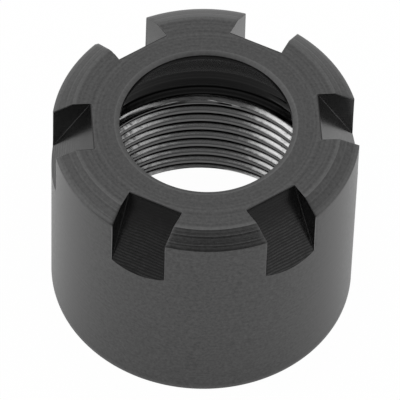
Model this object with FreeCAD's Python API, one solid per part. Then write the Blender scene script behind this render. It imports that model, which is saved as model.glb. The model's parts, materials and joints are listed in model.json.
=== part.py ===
import FreeCAD
import Part
import math
import os

# Collet nut, small-body type, turned from one bar of steel. It stands on its
# rear face at Z = 0 with its axis on Z, and its front face is up.

# Thread, M19 x 1 right hand. The hole is modelled at the crest diameter.
thread_major_diameter = 19.0
thread_pitch = 1.0
crest_depth_per_pitch = 1.0825  # on the diameter, ISO internal thread
rear_chamfer_length = 0.45

# Body
wall_outside_thread = 1.5
overall_length = 17.4
front_chamfer_width = 1.35      # measured across the front face
front_chamfer_angle = 30.0      # from the front face
rear_edge_break = 0.15

# Front opening, where the clamped shank comes out
front_bore_diameter = 12.35
front_bore_chamfer_width = 0.38 # measured across the front face
front_bore_chamfer_angle = 22.0 # from the front face
front_bore_length = 0.6         # front face to the start of the cone

# Seat for the collet head: a cone that opens into a bore as wide as the thread's crests
cone_half_angle = 30.0          # from the axis
head_land_length = 0.78         # straight wall between the cone and the lip

# Extractor lip: an off-centre bore leaves a crescent, thickest at -Y
lip_diameter = 17.2
lip_offset = 0.45               # the lip's bore lies this far towards +Y
lip_length = 0.66

# Relief groove between the lip and the first thread, where the threading tool runs out.
# A lead cone narrows it down to the thread's crests.
thread_relief_step = 0.1        # how far its wall lies outside the thread's roots
thread_relief_length = 0.94     # its straight wall
thread_lead_angle = 45.0        # from the axis

# Spanner slots, milled at a slant through the front rim
slot_count = 6
slot_width = 4.1
slot_depth = 2.88               # radial, where the floor meets the front face
slot_floor_angle = 60.25        # from the front face
cutter_overrun = 2.0            # how far the cutter passes the body

# Radii
outer_radius = thread_major_diameter / 2 + wall_outside_thread
thread_bore_radius = (thread_major_diameter - crest_depth_per_pitch * thread_pitch) / 2
head_bore_radius = thread_bore_radius
relief_radius = thread_major_diameter / 2 + thread_relief_step
front_bore_radius = front_bore_diameter / 2

# Heights above the rear face, from the front face down
cone_top = overall_length - front_bore_length
cone_drop = (head_bore_radius - front_bore_radius) / math.tan(math.radians(cone_half_angle))
head_top = cone_top - cone_drop
lip_top = head_top - head_land_length
lip_bottom = lip_top - lip_length
lead_top = lip_bottom - thread_relief_length
lead_drop = (relief_radius - thread_bore_radius) / math.tan(math.radians(thread_lead_angle))
thread_top = lead_top - lead_drop

axis_start = FreeCAD.Vector(0, 0, 0)
axis_up = FreeCAD.Vector(0, 0, 1)


def turned_body():
    """The outside of the nut, and inside it the front bore, cone, head bore, relief and thread bore."""
    chamfer_drop = front_chamfer_width * math.tan(math.radians(front_chamfer_angle))
    bore_chamfer_drop = front_bore_chamfer_width * math.tan(math.radians(front_bore_chamfer_angle))
    profile = [
        (thread_bore_radius + rear_chamfer_length, 0),
        (outer_radius - rear_edge_break, 0),
        (outer_radius, rear_edge_break),
        (outer_radius, overall_length - chamfer_drop),
        (outer_radius - front_chamfer_width, overall_length),
        (front_bore_radius + front_bore_chamfer_width, overall_length),
        (front_bore_radius, overall_length - bore_chamfer_drop),
        (front_bore_radius, cone_top),
        (head_bore_radius, head_top),
        (head_bore_radius, lip_bottom),
        (relief_radius, lip_bottom),
        (relief_radius, lead_top),
        (thread_bore_radius, thread_top),
        (thread_bore_radius, rear_chamfer_length),
    ]
    corners = [FreeCAD.Vector(radius, 0, height) for radius, height in profile]
    outline = Part.makePolygon(corners + [corners[0]])
    return Part.Face(outline).revolve(axis_start, axis_up, 360)


def extractor_lip():
    """Ring rooted in the nut's wall, with its own bore off centre."""
    root_radius = (head_bore_radius + outer_radius) / 2
    ring = Part.makeCylinder(root_radius, lip_length, FreeCAD.Vector(0, 0, lip_bottom))
    below = FreeCAD.Vector(0, lip_offset, lip_bottom - lip_length)
    bore = Part.makeCylinder(lip_diameter / 2, lip_length * 3, below)
    return ring.cut(bore)


def slot_cutter(angle):
    """Straight-sided cutter whose floor slants down and outwards."""
    slope = math.tan(math.radians(slot_floor_angle))
    floor_radius = outer_radius - slot_depth
    outside = outer_radius + cutter_overrun
    top = overall_length + cutter_overrun
    side_y = -slot_width / 2
    corners = [
        FreeCAD.Vector(floor_radius - cutter_overrun / slope, side_y, top),
        FreeCAD.Vector(outside, side_y, overall_length - (outside - floor_radius) * slope),
        FreeCAD.Vector(outside, side_y, top),
    ]
    side = Part.Face(Part.makePolygon(corners + [corners[0]]))
    cutter = side.extrude(FreeCAD.Vector(0, slot_width, 0))
    cutter.rotate(axis_start, axis_up, angle)
    return cutter


def collet_nut():
    body = turned_body().fuse(extractor_lip())
    cutters = [slot_cutter(index * 360 / slot_count) for index in range(slot_count)]
    return body.cut(cutters).removeSplitter()


os.makedirs("parts", exist_ok=True)
nut = collet_nut()
nut.exportStep("parts/collet_nut.step")
print("collet_nut", "solids", len(nut.Solids), "valid", nut.isValid(), "volume", round(nut.Volume, 2))
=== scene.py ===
import json
import math

import bmesh
import bpy
from mathutils import Matrix, Vector


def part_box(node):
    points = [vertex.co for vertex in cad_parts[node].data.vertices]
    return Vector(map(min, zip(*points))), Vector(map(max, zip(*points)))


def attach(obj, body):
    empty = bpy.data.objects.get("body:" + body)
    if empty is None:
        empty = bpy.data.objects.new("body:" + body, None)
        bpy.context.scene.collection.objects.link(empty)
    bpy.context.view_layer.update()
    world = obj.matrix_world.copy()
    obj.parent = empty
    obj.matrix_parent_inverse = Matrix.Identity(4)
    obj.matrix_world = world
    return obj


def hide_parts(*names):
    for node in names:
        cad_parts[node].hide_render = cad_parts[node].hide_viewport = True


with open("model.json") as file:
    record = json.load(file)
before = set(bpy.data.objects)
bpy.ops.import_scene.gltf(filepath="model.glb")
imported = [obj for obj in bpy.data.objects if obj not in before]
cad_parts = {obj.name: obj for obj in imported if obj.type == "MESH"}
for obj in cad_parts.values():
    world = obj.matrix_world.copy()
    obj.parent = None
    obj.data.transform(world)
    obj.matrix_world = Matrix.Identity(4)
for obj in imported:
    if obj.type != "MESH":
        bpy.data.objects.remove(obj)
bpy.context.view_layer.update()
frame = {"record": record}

MM = 0.001

# Sizes of the nut in millimetres. The outside, the bores and the thread's
# place come from the frame; the rest are the same values as the solid's.
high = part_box("collet_nut")[1]
mounts = {mount["name"]: mount for mount in frame["record"]["mounts"]}
outer_radius = high[0] / MM
height = high[2] / MM
thread_bore_radius = mounts["thread"]["dims"]["r_mm"]
front_bore_radius = mounts["front_bore"]["dims"]["r_mm"]
front_chamfer_width = 1.35
front_chamfer_angle = math.radians(30.0)
rear_edge_break = 0.15
front_bore_chamfer_width = 0.38
front_bore_chamfer_angle = math.radians(22.0)
front_bore_length = 0.6
cone_half_angle = math.radians(30.0)
head_land_length = 0.78
lip_radius = 8.6
lip_offset = 0.45
lip_length = 0.66
thread_relief_step = 0.1
thread_relief_length = 0.94
rear_chamfer_length = 0.45
slot_count = 6
slot_width = 4.1
slot_depth = 2.88
slot_floor_angle = math.radians(60.25)

# Thread, 60 degree form, right hand
thread_pitch = 1.0
thread_depth = 0.5413           # crest to root, for a pitch of 1
crest_edge = 0.375              # from the groove's middle, in pitches
root_edge = 0.0625
groove_height = 0.49            # height of a groove's middle above +X
run_out_start = 8.85            # the last turn gets shallower from here up
run_out_end = 9.12
notch_height = 8.12             # a false start of the tool, part of a turn long
notch_depth = 0.5
notch_half_width = (0.08, 0.13) # in pitches, growing over the turns below
notch_widens = (0.2, 0.36)      # turns are counted round the axis from +X
notch_begins = (0.18, 0.34)
notch_ends = (0.5, 0.62)

# Small roundings that every machined edge has
turned_edge_radius = 0.05
slot_edge_radius = 0.07
bore_edge_radius = 0.02
lip_edge_radius = 0.015
blunt_slot = 2                  # the slot beside the one lug corner that has been knocked
blunt_radius = 0.3
blunt_reach = 2.4               # how far below the front face the knock is felt
blunt_fade = 1.2

cone_top = height - front_bore_length
bore_chamfer_bottom = height - front_bore_chamfer_width * math.tan(front_bore_chamfer_angle)
head_bore_radius = thread_bore_radius
relief_radius = thread_bore_radius + thread_depth + thread_relief_step
head_top = cone_top - (head_bore_radius - front_bore_radius) / math.tan(cone_half_angle)
lip_top = head_top - head_land_length
lip_bottom = lip_top - lip_length
lead_top = lip_bottom - thread_relief_length
thread_top = lead_top - (relief_radius - thread_bore_radius)
slot_floor_radius = outer_radius - slot_depth
slot_slope = math.tan(slot_floor_angle)

# Numbers that mark what each face is, read by the nodes that give materials
TURNED, MILLED, BARE, BORED = 0, 1, 2, 3

# The kinds of node used most
MATHS, VECTOR = "ShaderNodeMath", "ShaderNodeVectorMath"
MIX, RANGE = "ShaderNodeMix", "ShaderNodeMapRange"
NOISE, SPLIT, JOIN = "ShaderNodeTexNoise", "ShaderNodeSeparateXYZ", "ShaderNodeCombineXYZ"

# How bright an edge is worn, read by the materials
WORN, RUBBED = 1.0, 0.3

# The slots' own zero lies this far round from the picture's right
photo_turn = math.radians(-5.44)


def linear(hex_colour):
    """sRGB hex to the linear colour that shaders use."""
    channels = [int(hex_colour[i:i + 2], 16) / 255 for i in (1, 3, 5)]
    return tuple(c / 12.92 if c <= 0.04045 else ((c + 0.055) / 1.055) ** 2.4 for c in channels) + (1.0,)


def add(tree, kind, inputs=(), output=0, **settings):
    """Adds one node, sets it, fills its inputs and returns one of its outputs."""
    node = tree.nodes.new(kind)
    for name, value in settings.items():
        setattr(node, name, value)
    pairs = inputs.items() if isinstance(inputs, dict) else enumerate(inputs)
    for key, value in pairs:
        if value is None:
            continue
        if isinstance(value, bpy.types.NodeSocket):
            tree.links.new(value, node.inputs[key])
        else:
            node.inputs[key].default_value = value
    return None if output is None else node.outputs[output]


class Row:
    """One ring of the nut's surface: a point of the section and its outward normal."""

    def __init__(self, radius, z, normal=(0.0, 0.0), edge=False, floor=None, lip=None, zone=0,
                 finish=TURNED):
        self.radius = radius
        self.z = z
        self.normal = normal
        self.edge = edge
        self.floor = floor      # the slot's floor beside this row: its (x, z), or a share of its slope
        self.lip = lip          # distance behind the lip's edge
        self.zone = zone        # 1 in the thread, 2 in its relief
        self.finish = finish


def section(corners, steps=3):
    """Rows along a section's corners, with each rounded corner as an arc."""
    rows = []
    for index, (radius, z, rounding) in enumerate(corners):
        here = Vector((radius, z))
        ways = []
        for other in (index - 1, index + 1):
            if 0 <= other < len(corners):
                way = Vector(corners[other][:2]) - here
                ways.append(-way if other < index else way)
        normals = [Vector((way.y, -way.x)).normalized() for way in ways]
        if rounding == 0 or len(normals) < 2:
            normal = sum(normals, Vector((0, 0))).normalized()
            rows.append(Row(radius, z, normal))
            continue
        first, last = normals
        centre = here - (first + last) * rounding / (1 + first.dot(last))
        for step in range(steps + 1):
            normal = first.slerp(last, step / steps)
            spot = centre + normal * rounding
            rows.append(Row(spot.x, spot.y, normal, edge=step > 0))
    return rows


def between(start, end, count):
    """Values that part a stretch evenly, without its two ends."""
    return [start + (end - start) * step / (count + 1) for step in range(1, count + 1)]


def outside_rows():
    """Rear face and the cylinder below the slots."""
    rear_face_radii = (9.8, 10.35)
    first_z, below_slots_z = 0.6, 12.3
    edge = turned_edge_radius / 2
    corners = [(radius, 0, 0) for radius in rear_face_radii]
    corners += [(outer_radius - rear_edge_break, 0, edge), (outer_radius, rear_edge_break, edge),
                (outer_radius, first_z, 0)]
    rows = section(corners, steps=2)
    return rows + [Row(outer_radius, z, (1, 0)) for z in between(first_z, below_slots_z, 6)]


def slot_zone_rows():
    """Rows where lugs and slots differ, from the slot's foot to its top edge."""
    half = slot_width / 2
    corner_x = math.sqrt(outer_radius ** 2 - half ** 2)
    foot_z = height - (corner_x - slot_floor_radius) * slot_slope
    chamfer_z = height - front_chamfer_width * math.tan(front_chamfer_angle)
    face_radius = outer_radius - front_chamfer_width
    top_radius = math.hypot(slot_floor_radius, half)
    corners = [(outer_radius, foot_z, 0)]
    corners += [(outer_radius, z, 0) for z in between(foot_z, chamfer_z, 9)]
    corners += [(outer_radius, chamfer_z, turned_edge_radius)]
    corners += [(outer_radius - front_chamfer_width * share,
                 chamfer_z + (height - chamfer_z) * share, 0) for share in between(0, 1, 2)]
    corners += [(face_radius, height, turned_edge_radius)]
    corners += [(radius, height, 0) for radius in between(face_radius, top_radius + 0.1, 2)]
    rows = section(corners + [(top_radius + 0.1, height, 0)])
    rows[0].normal = Vector((1, 0))
    rows[-1].normal = Vector((0, 1))
    last_floor_share = 0.97
    for index, row in enumerate(rows):
        row.floor = last_floor_share * index / (len(rows) - 1)
    # Points of the rounding where the floor meets the front face
    edge = slot_edge_radius
    down = Vector((math.cos(slot_floor_angle), -math.sin(slot_floor_angle)))
    tips = [(slot_floor_radius + down.x * edge, height + down.y * edge),
            (slot_floor_radius + 0.05 * edge, height - 0.2 * edge),
            (slot_floor_radius - 0.5 * edge, height - 0.04 * edge),
            (slot_floor_radius - edge, height)]
    for x, z in tips:
        rows.append(Row(math.hypot(x, half), height, Vector((0, 1)), floor=(x, z)))
    return rows


def front_rows():
    """Front face, its opening and the cone behind it."""
    front_face_radii = (7.9, 7.3, 6.8)
    cone_radii = between(front_bore_radius, head_bore_radius, 7)
    rows = section(
        [(radius, height, 0) for radius in front_face_radii]
        + [(front_bore_radius + front_bore_chamfer_width, height, bore_edge_radius),
         (front_bore_radius, bore_chamfer_bottom, bore_edge_radius),
         (front_bore_radius, (bore_chamfer_bottom + cone_top) / 2, 0),
         (front_bore_radius, cone_top, bore_edge_radius)]
        + [(radius, cone_top - (radius - front_bore_radius) / math.tan(cone_half_angle), 0)
           for radius in cone_radii]
        + [(head_bore_radius, head_top, 0), (head_bore_radius, (head_top + lip_top) / 2, 0)])
    for row in rows:
        row.finish = BORED if row.z < bore_chamfer_bottom - 0.01 else TURNED
    return rows


def lip_rows():
    """Rows of the lip, each as far behind the lip's edge as its rounding asks."""
    edge = lip_edge_radius
    spots = [(edge, lip_top), (0.3 * edge, lip_top - 0.3 * edge), (0, lip_top - edge)]
    spots += [(0, z) for z in between(lip_top - edge, lip_bottom + edge, 2)]
    spots += [(0, lip_bottom + edge), (0.3 * edge, lip_bottom + 0.3 * edge), (edge, lip_bottom)]
    root = Row(head_bore_radius, lip_top, finish=BORED)
    return [root] + [Row(head_bore_radius, z, lip=behind, finish=BORED) for behind, z in spots]


def thread_rows():
    """Rows at fixed places on the thread's form, which the nodes wind into a helix."""
    flank = crest_edge - root_edge
    half_form = [root_edge, root_edge + flank * 0.25, root_edge + flank * 0.5,
                 root_edge + flank * 0.75, crest_edge - 0.02, crest_edge + 0.01]
    form = [-place for place in half_form] + [0.0] + half_form + [0.5]
    rows = []
    for zone, bottom, top in ((2, lead_top, lip_bottom), (1, 0.0, lead_top)):
        turns = range(-3, int(top / thread_pitch) + 2)
        heights = [groove_height + (turn + place) * thread_pitch for turn in turns for place in form]
        inside = sorted((z for z in heights if bottom - thread_pitch <= z < top), reverse=True)
        rows.append(Row(thread_bore_radius, top, zone=zone, finish=BORED))
        finish = BORED if zone == 2 else BARE
        rows += [Row(thread_bore_radius, z, zone=zone, finish=finish) for z in inside]
    # One row that stays on the rear face all round, so that both sides of the seam have it
    rows.append(Row(thread_bore_radius, -2 * thread_pitch, zone=1, finish=BARE))
    return rows


def half_columns(slot_steps=6, lug_steps=13):
    """Columns from a slot's middle to a lug's middle: which part, and how far along it."""
    columns = [("slot", step / slot_steps) for step in range(slot_steps)]
    columns += [("slot", 0.97), ("slot", 1.0), ("wall", 0.05), ("wall", 0.96)]
    columns += [("edge", turn) for turn in (1.0, 0.66, 0.33, 0.0)]
    return columns + [("lug", step / lug_steps) for step in range(1, lug_steps + 1)]


def place(row, part, share):
    """Where a column crosses a row, as (x, y, z) with the slot's middle on +X."""
    hair = 0.001                # keeps columns apart where the wall has no height
    half = slot_width / 2
    lug_middle = math.pi / slot_count
    if row.floor is None:
        wall_angle = math.asin(half / outer_radius)
        edge_angle = math.asin((half + slot_edge_radius) / outer_radius)
        angle = {"slot": wall_angle * share,
                 "wall": wall_angle + (edge_angle - wall_angle) * share * hair,
                 "edge": edge_angle + (wall_angle - edge_angle) * share * (1 - hair),
                 "lug": edge_angle + (lug_middle - edge_angle) * share}[part]
        return row.radius * math.cos(angle), row.radius * math.sin(angle), row.z
    if isinstance(row.floor, tuple):
        floor_x, floor_z = row.floor
    else:
        reach = half if part != "slot" else half * share
        outer_x = math.sqrt(outer_radius ** 2 - reach ** 2)
        floor_x = outer_x + (slot_floor_radius - outer_x) * row.floor
        floor_z = height - (floor_x - slot_floor_radius) * slot_slope
    if part == "slot":
        return floor_x, half * share, floor_z
    lug_x = math.sqrt(row.radius ** 2 - half ** 2)
    wall = math.hypot(lug_x - floor_x, row.z - floor_z)
    if part == "wall":
        return floor_x + (lug_x - floor_x) * share, half, floor_z + (row.z - floor_z) * share
    rounding = min(slot_edge_radius, wall * 0.4) if wall > 0.01 else 0.0
    if part == "edge":
        turn = share * math.pi / 2
        inset = rounding * (1 - math.cos(turn))
        across = half + rounding * (1 - math.sin(turn))
        radius = row.radius - row.normal[0] * inset
        return math.sqrt(radius ** 2 - across ** 2), across, row.z - row.normal[1] * inset
    start = math.asin((half + rounding) / row.radius)
    angle = start + (lug_middle - start) * share
    return row.radius * math.cos(angle), row.radius * math.sin(angle), row.z


def sector_mesh():
    """One sixth of the nut, from the middle of one slot to the middle of the next."""
    rows = outside_rows() + slot_zone_rows() + front_rows() + lip_rows() + thread_rows()
    half = half_columns()
    whole_angle = 2 * math.pi / slot_count
    columns = [(part, share, False) for part, share in half]
    columns += [(part, share, True) for part, share in reversed(half[:-1])]
    mesh = bmesh.new()
    angle_layer = mesh.verts.layers.float.new("local_angle")
    lip_layer = mesh.verts.layers.float.new("behind_lip")
    zone_layer = mesh.verts.layers.float.new("thread_zone")
    wear_layer = mesh.verts.layers.float.new("edge_wear")
    finish_layer = mesh.faces.layers.int.new("finish")
    grid = []
    for row in rows:
        line = []
        for part, share, mirrored in columns:
            x, y, z = place(row, part, share)
            radius, angle = math.hypot(x, y), math.atan2(y, x)
            if mirrored:
                angle = whole_angle - angle
            x, y = radius * math.cos(angle), radius * math.sin(angle)
            vert = mesh.verts.new((x * MM, y * MM, z * MM))
            vert[angle_layer] = angle
            vert[lip_layer] = -1.0 if row.lip is None else row.lip * MM
            vert[zone_layer] = row.zone
            above_foot = row.floor not in (None, 0)
            rim = above_foot and part == "edge" and 0 < share < 1
            brow = row.edge and (row.floor is None or part in ("lug", "edge"))
            foot = above_foot and part == "slot" and share == 1.0
            upright = rim and row.radius == outer_radius
            vert[wear_layer] = WORN if upright or foot else RUBBED if rim or brow else 0.0
            line.append(vert)
        grid.append(line)
    for upper in range(len(rows)):
        lower = (upper + 1) % len(rows)
        for col in range(len(columns) - 1):
            corners = (grid[upper][col], grid[lower][col], grid[lower][col + 1], grid[upper][col + 1])
            face = mesh.faces.new(corners)
            parts = {columns[col][0], columns[col + 1][0]}
            in_slot = rows[upper].floor is not None and rows[lower].floor is not None
            milled = in_slot and (parts == {"slot"} or "wall" in parts)
            face[finish_layer] = MILLED if milled else rows[lower].finish
    data = bpy.data.meshes.new("nut_sector")
    mesh.to_mesh(data)
    mesh.free()
    return data


def nut_tree(materials):
    """Repeats the sector round the axis, winds the thread, shapes the lip and gives the finishes."""
    tree = bpy.data.node_groups.new("nut_round", "GeometryNodeTree")
    sockets = tree.interface
    sockets.new_socket("Geometry", in_out="INPUT", socket_type="NodeSocketGeometry")
    sockets.new_socket("Sectors", in_out="INPUT", socket_type="NodeSocketInt")
    for name in ("Pitch", "Thread Depth", "Crest Edge", "Root Edge", "Groove Height", "Crest Radius",
                 "Thread Top", "Lead Top", "Relief Top", "Relief Radius", "Head Radius", "Rear Chamfer",
                 "Run-out Start", "Run-out End", "Notch Height", "Notch Depth", "Lip Radius",
                 "Lip Offset"):
        sockets.new_socket(name, in_out="INPUT", socket_type="NodeSocketFloat")
    sockets.new_socket("Geometry", in_out="OUTPUT", socket_type="NodeSocketGeometry")
    sizes = tree.nodes.new("NodeGroupInput").outputs

    # The sector once for each slot, turned about the axis
    index = add(tree, "GeometryNodeInputIndex")
    step = add(tree, MATHS, (math.tau, sizes["Sectors"]), operation="DIVIDE")
    turn = add(tree, MATHS, (index, step), operation="MULTIPLY")
    points = add(tree, "GeometryNodePoints", {"Count": sizes["Sectors"]})
    points = add(tree, "GeometryNodeStoreNamedAttribute",
                 {"Geometry": points, "Name": "sector_angle", "Value": turn},
                 data_type="FLOAT", domain="POINT")
    about_axis = add(tree, JOIN, {"Z": turn})
    placed = add(tree, "GeometryNodeInstanceOnPoints",
                 {"Points": points, "Instance": sizes["Geometry"], "Rotation": about_axis})
    whole = add(tree, "GeometryNodeRealizeInstances", {"Geometry": placed})

    # Where each point is round the axis, in turns and radians
    local, sector, zone, behind = [
        add(tree, "GeometryNodeInputNamedAttribute", {"Name": name}, data_type="FLOAT")
        for name in ("local_angle", "sector_angle", "thread_zone", "behind_lip")]
    angle = add(tree, MATHS, (local, sector), operation="ADD")
    turns = add(tree, MATHS, (angle, math.tau), operation="DIVIDE")
    cosine = add(tree, MATHS, (angle,), operation="COSINE")
    sine = add(tree, MATHS, (angle,), operation="SINE")
    position = add(tree, "GeometryNodeInputPosition")
    height_now = add(tree, SPLIT, (position,), output=2)
    outward = add(tree, JOIN, (cosine, sine, 0.0))

    def spot_at(radius, level):
        """The point straight out from the axis at this radius and height."""
        spoke = add(tree, VECTOR, {0: outward, "Scale": radius}, operation="SCALE")
        lift = add(tree, JOIN, {"Z": level})
        return add(tree, VECTOR, (spoke, lift), operation="ADD")

    # Thread: wind the rows up by a pitch a turn, and stop them at the thread's ends
    in_relief = add(tree, MATHS, (zone, 1.5), operation="GREATER_THAN")
    rise = add(tree, MATHS, (turns, sizes["Pitch"], height_now), operation="MULTIPLY_ADD")
    floor_z = add(tree, MATHS, (in_relief, sizes["Lead Top"]), operation="MULTIPLY")
    ceiling = add(tree, MIX, {"Factor": in_relief, "A": sizes["Lead Top"],
                              "B": sizes["Relief Top"]})
    raised = add(tree, "ShaderNodeClamp", {"Value": rise, "Min": floor_z, "Max": ceiling})
    above = add(tree, MATHS, (raised, sizes["Groove Height"]), operation="SUBTRACT")
    pitches = add(tree, MATHS, (above, sizes["Pitch"]), operation="DIVIDE")
    phase = add(tree, MATHS, (pitches, turns), operation="SUBTRACT")
    nearest = add(tree, MATHS, (phase,), operation="ROUND")
    offset = add(tree, MATHS, (phase, nearest), operation="SUBTRACT")
    distance = add(tree, MATHS, (offset,), operation="ABSOLUTE")
    cut = add(tree, RANGE, {"Value": distance, "From Min": sizes["Crest Edge"],
                            "From Max": sizes["Root Edge"], "To Min": 0.0,
                            "To Max": sizes["Thread Depth"]})
    drop = add(tree, MATHS, (offset, sizes["Pitch"]), operation="MULTIPLY")
    middle = add(tree, MATHS, (raised, drop), operation="SUBTRACT")
    drawn_back = add(tree, RANGE, {"Value": middle, "From Min": sizes["Run-out Start"],
                                   "From Max": sizes["Run-out End"], "To Min": 0.0,
                                   "To Max": sizes["Thread Depth"]})
    deep = add(tree, MATHS, (cut, drawn_back), operation="SUBTRACT")
    over_notch = add(tree, MATHS, (raised, sizes["Notch Height"]), operation="SUBTRACT")
    over_notch = add(tree, MATHS, (over_notch, sizes["Pitch"]), operation="DIVIDE")
    over_notch = add(tree, MATHS, (over_notch, turns), operation="SUBTRACT")
    off_notch = add(tree, MATHS, (over_notch,), operation="ABSOLUTE")
    half_width = add(tree, RANGE, {
        "Value": turns, "From Min": notch_widens[0], "From Max": notch_widens[1],
        "To Min": notch_half_width[0], "To Max": notch_half_width[1]})
    notch = add(tree, RANGE, {"Value": off_notch, "From Min": half_width, "From Max": 0.0,
                              "To Min": 0.0, "To Max": sizes["Notch Depth"]})
    fade = add(tree, RANGE, {"Value": turns, "From Min": notch_ends[1],
                             "From Max": notch_ends[0]})
    start = add(tree, RANGE, {"Value": turns, "From Min": notch_begins[0],
                              "From Max": notch_begins[1]})
    notch = add(tree, MATHS, (notch, fade), operation="MULTIPLY")
    notch = add(tree, MATHS, (notch, start), operation="MULTIPLY")
    deep = add(tree, MATHS, (deep, notch), operation="MAXIMUM")
    groove = add(tree, MATHS, (sizes["Crest Radius"], deep), operation="ADD")
    mouth = add(tree, MATHS, (sizes["Rear Chamfer"], raised), operation="SUBTRACT")
    lead = add(tree, MATHS, (raised, sizes["Thread Top"]), operation="SUBTRACT")
    mouth = add(tree, MATHS, (mouth, lead), operation="MAXIMUM")
    mouth = add(tree, MATHS, (mouth, 0.0), operation="MAXIMUM")
    crest = add(tree, MATHS, (sizes["Crest Radius"], mouth), operation="ADD")
    wall = add(tree, MIX, {"Factor": in_relief, "A": crest, "B": sizes["Relief Radius"]})
    thread_radius = add(tree, MATHS, (wall, groove), operation="MAXIMUM")
    threaded = add(tree, MATHS, (zone, 0.5), operation="GREATER_THAN")
    whole = add(tree, "GeometryNodeSetPosition", {"Geometry": whole, "Selection": threaded,
                                                  "Position": spot_at(thread_radius, raised)})

    # Lip: its edge is a circle off centre towards +Y, and never outside the bore
    side = add(tree, MATHS, (cosine, sizes["Lip Offset"]), operation="MULTIPLY")
    side_squared = add(tree, MATHS, (side, side), operation="MULTIPLY")
    squared = add(tree, MATHS, (sizes["Lip Radius"], sizes["Lip Radius"]), operation="MULTIPLY")
    reach = add(tree, MATHS, (squared, side_squared), operation="SUBTRACT")
    reach = add(tree, MATHS, (reach,), operation="SQRT")
    reach = add(tree, MATHS, (sine, sizes["Lip Offset"], reach), operation="MULTIPLY_ADD")
    reach = add(tree, MATHS, (reach, behind), operation="ADD")
    lip_edge = add(tree, MATHS, (reach, sizes["Head Radius"]), operation="MINIMUM")
    on_lip = add(tree, MATHS, (behind, -0.5 * MM), operation="GREATER_THAN")
    whole = add(tree, "GeometryNodeSetPosition", {"Geometry": whole, "Selection": on_lip,
                                                  "Position": spot_at(lip_edge, height_now)})

    # Close the seams, then give each face its finish; what the thread tool cut is bare
    whole = add(tree, "GeometryNodeMergeByDistance", {"Geometry": whole, "Distance": 0.001 * MM})
    finish = add(tree, "GeometryNodeInputNamedAttribute", {"Name": "finish"}, data_type="INT")
    for number, material in enumerate(materials):
        chosen = add(tree, "FunctionNodeCompare", {2: finish, 3: number}, data_type="INT",
                     operation="EQUAL")
        whole = add(tree, "GeometryNodeSetMaterial", {"Geometry": whole, "Selection": chosen,
                                                      "Material": material})
    add(tree, "NodeGroupOutput", (whole,), output=None)
    return tree


def blunt_corner(points):
    """Rounds the one lug corner that has been knocked. The rounding fades out down the slot's wall."""
    turn = blunt_slot * 2 * math.pi / slot_count
    along = Vector((math.cos(turn), math.sin(turn), 0))
    across = Vector((-math.sin(turn), math.cos(turn), 0))
    chamfer_z = height - front_chamfer_width * math.tan(front_chamfer_angle)
    push = along * 0.8 + Vector((0, 0, 0.6))    # one long, so a point moves by what it is pushed
    for point in points:
        spot = point.co / MM
        beside = spot.dot(across) - slot_width / 2
        inside = outer_radius - math.hypot(spot.x, spot.y)
        below = (inside * math.sin(front_chamfer_angle)
                 + (chamfer_z - spot.z) * math.cos(front_chamfer_angle))
        depth = max(0, min(inside, below))
        if spot.dot(along) < 0 or not -0.001 < beside < blunt_radius or depth > blunt_radius:
            continue
        fade = min(1, max(0, (spot.z - (height - blunt_reach)) / blunt_fade))
        rounded = blunt_radius - math.sqrt(blunt_radius ** 2 - (blunt_radius - max(beside, 0)) ** 2)
        point.co -= push * max(0, rounded - depth) * fade * MM


def slotted_nut(materials):
    """The whole nut as one closed mesh."""
    piece = bpy.data.objects.new("nut", sector_mesh())
    bpy.context.scene.collection.objects.link(piece)
    tree = nut_tree(materials)
    modifier = piece.modifiers.new("round", "NODES")
    modifier.node_group = tree
    lengths = {
        "Pitch": thread_pitch, "Thread Depth": thread_depth, "Groove Height": groove_height,
        "Crest Radius": thread_bore_radius, "Thread Top": thread_top, "Lead Top": lead_top,
        "Relief Top": lip_bottom, "Relief Radius": relief_radius, "Head Radius": head_bore_radius,
        "Rear Chamfer": rear_chamfer_length, "Run-out Start": run_out_start, "Run-out End": run_out_end,
        "Notch Height": notch_height, "Notch Depth": notch_depth, "Lip Radius": lip_radius,
        "Lip Offset": lip_offset}
    values = {name: length * MM for name, length in lengths.items()}
    values.update({"Sectors": slot_count, "Crest Edge": crest_edge, "Root Edge": root_edge})
    for item in tree.interface.items_tree:
        if item.in_out == "INPUT" and item.name in values:
            modifier[item.identifier] = values[item.name]
    graph = bpy.context.evaluated_depsgraph_get()
    mesh = bpy.data.meshes.new_from_object(piece.evaluated_get(graph))
    piece.modifiers.remove(modifier)
    piece.data = mesh
    work = bmesh.new()
    work.from_mesh(mesh)
    blunt_corner(work.verts)
    bmesh.ops.dissolve_degenerate(work, edges=work.edges, dist=0.0005 * MM)
    bmesh.ops.recalc_face_normals(work, faces=work.faces)
    sharp = math.radians(25)
    for edge in work.edges:
        if len(edge.link_faces) == 2 and edge.calc_face_angle() > sharp:
            edge.smooth = False
    for face in work.faces:
        face.smooth = True
    work.to_mesh(mesh)
    work.free()
    return piece


# Settings of a Mix node that blends two colours, its inputs 6 and 7, and of noise along one
# length or in all three
colours = {"output": 2, "data_type": "RGBA"}
one_way = {"output": "Fac", "noise_dimensions": "1D"}
all_ways = {"output": "Fac", "noise_dimensions": "3D"}


def metal(name):
    """Starts a metal's material and gives its nodes and its shader."""
    material = bpy.data.materials.new(name)
    material.use_nodes = True
    shader = material.node_tree.nodes["Principled BSDF"]
    shader.inputs["Metallic"].default_value = 1.0
    return material, material.node_tree, shader


def whereabouts(tree):
    """Where a point is: its place, its height and its distance from the axis."""
    coords = add(tree, "ShaderNodeTexCoord", output="Object")
    level = add(tree, SPLIT, (coords,), output=2)
    flat = add(tree, VECTOR, (coords, (1.0, 1.0, 0.0)), operation="MULTIPLY")
    radius = add(tree, VECTOR, (flat,), output="Value", operation="LENGTH")
    return coords, level, radius


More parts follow.
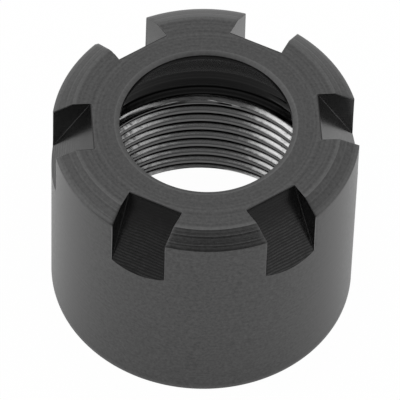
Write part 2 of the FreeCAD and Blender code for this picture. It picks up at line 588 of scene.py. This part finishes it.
def turned_black_oxide():
    """Black oxide on turned steel: even dark grey, dull shine, mottled grain, faint tool rings."""
    material, tree, shader = metal("black_oxide_steel_turned")
    coords, level, radius = whereabouts(tree)
    along = add(tree, MATHS, (radius, level), operation="SUBTRACT")
    # Feed marks of the front face and chamfer, drawn 0.25 mm apart where the real ones are 0.08 mm
    rings = add(tree, NOISE, {"W": along, "Scale": 1 / (0.25 * MM), "Detail": 3.0}, **one_way)
    front = add(tree, RANGE, {"Value": radius, "From Min": (outer_radius - 0.02) * MM,
                              "From Max": (outer_radius - 0.06) * MM, "To Min": 0.1, "To Max": 0.35})
    # Mottled grain of the oxide, 0.22 mm across
    grain = add(tree, NOISE, {"Vector": coords, "Scale": 1 / (0.22 * MM), "Detail": 4.0,
                              "Roughness": 0.65}, **all_ways)
    mottle = add(tree, MIX, {"Factor": front, "A": grain, "B": rings})
    mottle = add(tree, RANGE, {"Value": mottle, "From Min": 0.25, "From Max": 0.75})
    tone = add(tree, MIX, {"Factor": mottle, 6: linear("#3f3f3f"), 7: linear("#5f5f5f")}, **colours)
    wear = add(tree, "ShaderNodeAttribute", output="Fac", attribute_name="edge_wear")
    worn = add(tree, MATHS, (wear, 0.45), operation="MULTIPLY")
    tone = add(tree, MIX, {"Factor": worn, 6: tone, 7: linear("#9a9a9a")}, **colours)
    tree.links.new(tone, shader.inputs["Base Color"])
    rough = add(tree, RANGE, {"Value": grain, "From Min": 0.3, "From Max": 0.7,
                              "To Min": 0.3, "To Max": 0.4})
    tree.links.new(rough, shader.inputs["Roughness"])
    ring_bump = add(tree, "ShaderNodeBump", {"Strength": front, "Distance": 0.045 * MM,
                                             "Height": rings})
    bump = add(tree, "ShaderNodeBump", {"Strength": 0.35, "Distance": 0.008 * MM, "Height": grain,
                                        "Normal": ring_bump})
    tree.links.new(bump, shader.inputs["Normal"])
    return material


def bored_black_oxide():
    """Black oxide on a bored wall, still oily: near black with a soft shine and fine boring marks."""
    material, tree, shader = metal("black_oxide_steel_bored")
    coords, level, radius = whereabouts(tree)
    along = add(tree, MATHS, (radius, level), operation="SUBTRACT")
    # Boring marks, drawn 0.25 mm apart where the real ones are 0.1 mm
    lines = add(tree, NOISE, {"W": along, "Scale": 1 / (0.25 * MM), "Detail": 2.0}, **one_way)
    below_cone = add(tree, RANGE, {"Value": level, "From Min": (head_top + 0.3) * MM,
                                   "From Max": lip_top * MM, "To Min": 0.1, "To Max": 0.6})
    lines = add(tree, RANGE, {"Value": lines, "From Min": 0.3, "From Max": 0.7})
    lines = add(tree, MIX, {"Factor": below_cone, "A": 0.5, "B": lines})
    tone = add(tree, MIX, {"Factor": lines, 6: linear("#1c1c1c"), 7: linear("#363636")}, **colours)
    # Painted shade: the lip and what lies behind it are blacker; painted light: the relief is greyer
    # Painted shade below the head land, where the lip and the recess behind it lie in shade
    below_land = add(tree, RANGE, {"Value": level, "From Min": lip_top * MM,
                                   "From Max": (lip_top - 0.3) * MM})
    blacker = add(tree, MIX, {"Factor": lines, 6: linear("#101010"), 7: linear("#2a2a2a")}, **colours)
    tone = add(tree, MIX, {"Factor": below_land, 6: tone, 7: blacker}, **colours)
    # Painted light: the relief behind the lip is given a lighter grey, standing in for light that
    # reaches it
    greyer = add(tree, MIX, {"Factor": lines, 6: linear("#303030"), 7: linear("#484848")}, **colours)
    behind_lip = add(tree, RANGE, {"Value": radius, "From Min": (head_bore_radius + 0.3) * MM,
                                   "From Max": (head_bore_radius + 0.5) * MM})
    tone = add(tree, MIX, {"Factor": behind_lip, 6: tone, 7: greyer}, **colours)
    tree.links.new(tone, shader.inputs["Base Color"])
    shader.inputs["Roughness"].default_value = 0.24
    bump = add(tree, "ShaderNodeBump", {"Strength": 0.8, "Distance": 0.015 * MM, "Height": lines})
    tree.links.new(bump, shader.inputs["Normal"])
    return material


def milled_black_oxide():
    """Black oxide on milled steel: dark and a little smoother, with level cutter lines."""
    material, tree, shader = metal("black_oxide_steel_milled")
    coords = add(tree, "ShaderNodeTexCoord", output="Object")
    # Cutter lines 0.2 mm apart, level with the front face, fainter in places
    lines = add(tree, "ShaderNodeTexWave",
                {"Vector": coords, "Scale": 0.314 / (0.2 * MM), "Distortion": 3.0, "Detail": 2.0,
                 "Detail Scale": 0.4}, output="Fac", bands_direction="Z")
    patches = add(tree, NOISE, {"Vector": coords, "Scale": 1 / (0.4 * MM), "Detail": 3.0}, **all_ways)
    level = add(tree, SPLIT, (coords,), output=2)
    # Painted light: the milled faces are darker near the front face and lighter from 0.8 to 2.4 mm
    # below it
    low_down = add(tree, RANGE, {"Value": level, "From Min": (height - 0.8) * MM,
                                 "From Max": (height - 2.4) * MM, "To Min": 0.25})
    fine = add(tree, MATHS, (lines, patches), operation="MULTIPLY")
    fine = add(tree, MATHS, (fine, low_down), operation="MULTIPLY")
    tone = add(tree, MIX, {"Factor": fine, 6: linear("#3e3e3e"), 7: linear("#6a6a6a")}, **colours)
    # A thin lighter line where the floor meets its two walls, and along the rims
    wear = add(tree, "ShaderNodeAttribute", output="Fac", attribute_name="edge_wear")
    worn = add(tree, RANGE, {"Value": wear, "From Min": 0.4, "To Max": 0.6})
    tone = add(tree, MIX, {"Factor": worn, 6: tone, 7: linear("#a0a0a0")}, **colours)
    tree.links.new(tone, shader.inputs["Base Color"])
    shader.inputs["Roughness"].default_value = 0.22
    bump = add(tree, "ShaderNodeBump", {"Strength": 0.15, "Distance": 0.002 * MM, "Height": fine})
    tree.links.new(bump, shader.inputs["Normal"])
    return material


def bare_machined_steel():
    """Bare steel fresh from the thread tool: bright grey, soft shine, fine lines along the cut."""
    material, tree, shader = metal("bare_steel_machined")
    coords, level, radius = whereabouts(tree)
    lines = add(tree, NOISE, {"W": level, "Scale": 1 / (0.06 * MM), "Detail": 2.0}, **one_way)
    tone = add(tree, MIX, {"Factor": lines, 6: linear("#c0c0c0"), 7: linear("#e0e0e0")}, **colours)
    # Painted shade: the crests get a darker grey than the flanks, for the shaded floor that they
    # mirror, and the roots are painted black as shade, but in the first turn only towards +X
    # Painted shade on the crest lands: a darker grey than the flanks
    flank = add(tree, RANGE, {"Value": radius, "From Min": (thread_bore_radius + 0.01) * MM,
                              "From Max": (thread_bore_radius + 0.05) * MM})
    tone = add(tree, MIX, {"Factor": flank, 6: linear("#868686"), 7: tone}, **colours)
    # Painted shade: the deep part of each groove is painted near black
    root = add(tree, RANGE, {"Value": radius, "From Min": (thread_bore_radius + 0.22) * MM,
                             "From Max": (thread_bore_radius + 0.32) * MM})
    # The painted root shade covers every turn below the first, and only the +X side of the first turn
    full = add(tree, RANGE, {"Value": level, "From Min": (thread_top - 0.45) * MM,
                             "From Max": (thread_top - 0.6) * MM})
    right = add(tree, SPLIT, (coords,), output=0)
    right = add(tree, RANGE, {"Value": right, "From Min": 4.5 * MM, "From Max": 6.0 * MM})
    full = add(tree, MATHS, (full, right), operation="MAXIMUM")
    root = add(tree, MATHS, (root, full), operation="MULTIPLY")
    tone = add(tree, MIX, {"Factor": root, 6: tone, 7: linear("#1e1e1e")}, **colours)
    # The lead above the thread is oxide again, rubbed in lines 0.15 mm apart
    rubbed = add(tree, NOISE, {"W": level, "Scale": 1 / (0.15 * MM), "Detail": 1.0}, **one_way)
    rubbed = add(tree, RANGE, {"Value": rubbed, "From Min": 0.35, "From Max": 0.65})
    above = add(tree, RANGE, {"Value": level, "From Min": (thread_top - 0.1) * MM,
                              "From Max": thread_top * MM})
    lead = add(tree, MIX, {"Factor": rubbed, 6: linear("#161616"), 7: linear("#646464")}, **colours)
    tone = add(tree, MIX, {"Factor": above, 6: tone, 7: lead}, **colours)
    tree.links.new(tone, shader.inputs["Base Color"])
    # Marks of the thread tool, 0.5 mm long
    chatter = add(tree, NOISE, {"Vector": coords, "Scale": 1 / (0.5 * MM), "Detail": 1.0}, **all_ways)
    shader.inputs["Roughness"].default_value = 0.18
    marks = add(tree, "ShaderNodeBump", {"Strength": 0.6, "Distance": 0.02 * MM, "Height": chatter})
    bump = add(tree, "ShaderNodeBump", {"Strength": 0.3, "Distance": 0.003 * MM, "Height": lines,
                                        "Normal": marks})
    tree.links.new(bump, shader.inputs["Normal"])
    return material


def camera():
    """Long lens above and in front, where the photograph was taken from."""
    radius = outer_radius * MM
    elevation = math.radians(52.57)
    roll = math.radians(1.903)
    target = Vector((-0.0232, 0, 0.7477)) * radius
    distance = 38.762 * radius
    back = Vector((0, -math.cos(elevation), math.sin(elevation)))
    level_right = Vector((1, 0, 0))
    level_up = back.cross(level_right)
    right = math.cos(roll) * level_right + math.sin(roll) * level_up
    up = -math.sin(roll) * level_right + math.cos(roll) * level_up
    round_axis = Matrix.Rotation(photo_turn, 4, "Z")
    view = Matrix((right, up, back)).transposed().to_4x4()
    data = bpy.data.cameras.new("camera")
    data.sensor_width = 36
    data.lens = 530.7
    data.clip_end = 10
    eye = bpy.data.objects.new("camera", data)
    eye.matrix_world = round_axis @ Matrix.Translation(target + back * distance) @ view
    bpy.context.scene.collection.objects.link(eye)
    bpy.context.scene.camera = eye


def soft_light(name, place, size, power):
    """Square lamp that points at the middle of the nut."""
    data = bpy.data.lights.new(name, "AREA")
    data.size = size
    data.energy = power
    lamp = bpy.data.objects.new(name, data)
    lamp.location = place
    lamp.rotation_euler = (Vector((0, 0, 0.01)) - Vector(place)).to_track_quat("-Z", "Y").to_euler()
    bpy.context.scene.collection.objects.link(lamp)


def studio():
    """Pale floor, pale surroundings that are darker behind the camera, and one soft light."""
    world = bpy.data.worlds.new("studio")
    bpy.context.scene.world = world
    world.use_nodes = True
    tree = world.node_tree
    background = tree.nodes["Background"]
    # What the metal mirrors is dim on the camera's side and a little brighter on the left
    coords = add(tree, "ShaderNodeTexCoord", output="Generated")
    away = (-math.sin(photo_turn), math.cos(photo_turn), 0)
    left = (-math.cos(photo_turn), -math.sin(photo_turn), 0)
    depth = add(tree, VECTOR, (coords, away), output="Value", operation="DOT_PRODUCT")
    shade = add(tree, RANGE, {"Value": depth, "From Min": -0.34, "From Max": -0.17,
                              "To Min": 0.1, "To Max": 1.0}, interpolation_type="SMOOTHSTEP")
    side = add(tree, VECTOR, (coords, left), output="Value", operation="DOT_PRODUCT")
    side = add(tree, MATHS, (side, 0.12, 1.0), operation="MULTIPLY_ADD")
    shade = add(tree, MATHS, (shade, side), operation="MULTIPLY")
    path = tree.nodes.new("ShaderNodeLightPath").outputs
    seen = add(tree, MATHS, (path["Is Glossy Ray"], path["Is Transmission Ray"]),
               operation="MAXIMUM")
    strength = add(tree, MIX, {"Factor": seen, "A": 1.0, "B": shade})
    strength = add(tree, MATHS, (strength, path["Is Camera Ray"]), operation="MAXIMUM")
    background.inputs["Color"].default_value = (1, 1, 1, 1)
    tree.links.new(strength, background.inputs["Strength"])

    # Matt paper that the camera sees as plain white, and the metal mirrors dimmer
    material = bpy.data.materials.new("pale_paper")
    material.use_nodes = True
    tree = material.node_tree
    shader = tree.nodes["Principled BSDF"]
    shader.inputs["Base Color"].default_value = linear("#f2f2f2")
    shader.inputs["Roughness"].default_value = 0.9
    glow = add(tree, "ShaderNodeEmission", {"Color": (1, 1, 1, 1), "Strength": 1.0})
    path = tree.nodes.new("ShaderNodeLightPath").outputs
    mirrored = add(tree, MATHS, (path["Is Glossy Ray"], 0.35), operation="MULTIPLY")
    direct = add(tree, MATHS, (path["Is Camera Ray"], 0.98), operation="MULTIPLY")
    share = add(tree, MATHS, (mirrored, direct), operation="MAXIMUM")
    mixed = add(tree, "ShaderNodeMixShader", (share, shader.outputs["BSDF"], glow))
    tree.links.new(mixed, tree.nodes["Material Output"].inputs["Surface"])
    mesh = bpy.data.meshes.new("floor")
    half = 1.5                  # metres
    corners = [(-half, -half, 0), (half, -half, 0), (half, half, 0), (-half, half, 0)]
    mesh.from_pydata(corners, [], [(0, 1, 2, 3)])
    mesh.materials.append(material)
    floor = bpy.data.objects.new("floor", mesh)
    bpy.context.scene.collection.objects.link(floor)

    soft_light("light_left", (-0.215, -0.064, 0.332), size=0.14, power=0.03)


# In the order of the numbers that mark the faces
finishes = [turned_black_oxide(), milled_black_oxide(), bare_machined_steel(), bored_black_oxide()]
nut = slotted_nut(finishes)
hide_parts("collet_nut")
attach(nut, "root")
camera()
studio()
bpy.context.scene.view_settings.view_transform = "Standard"
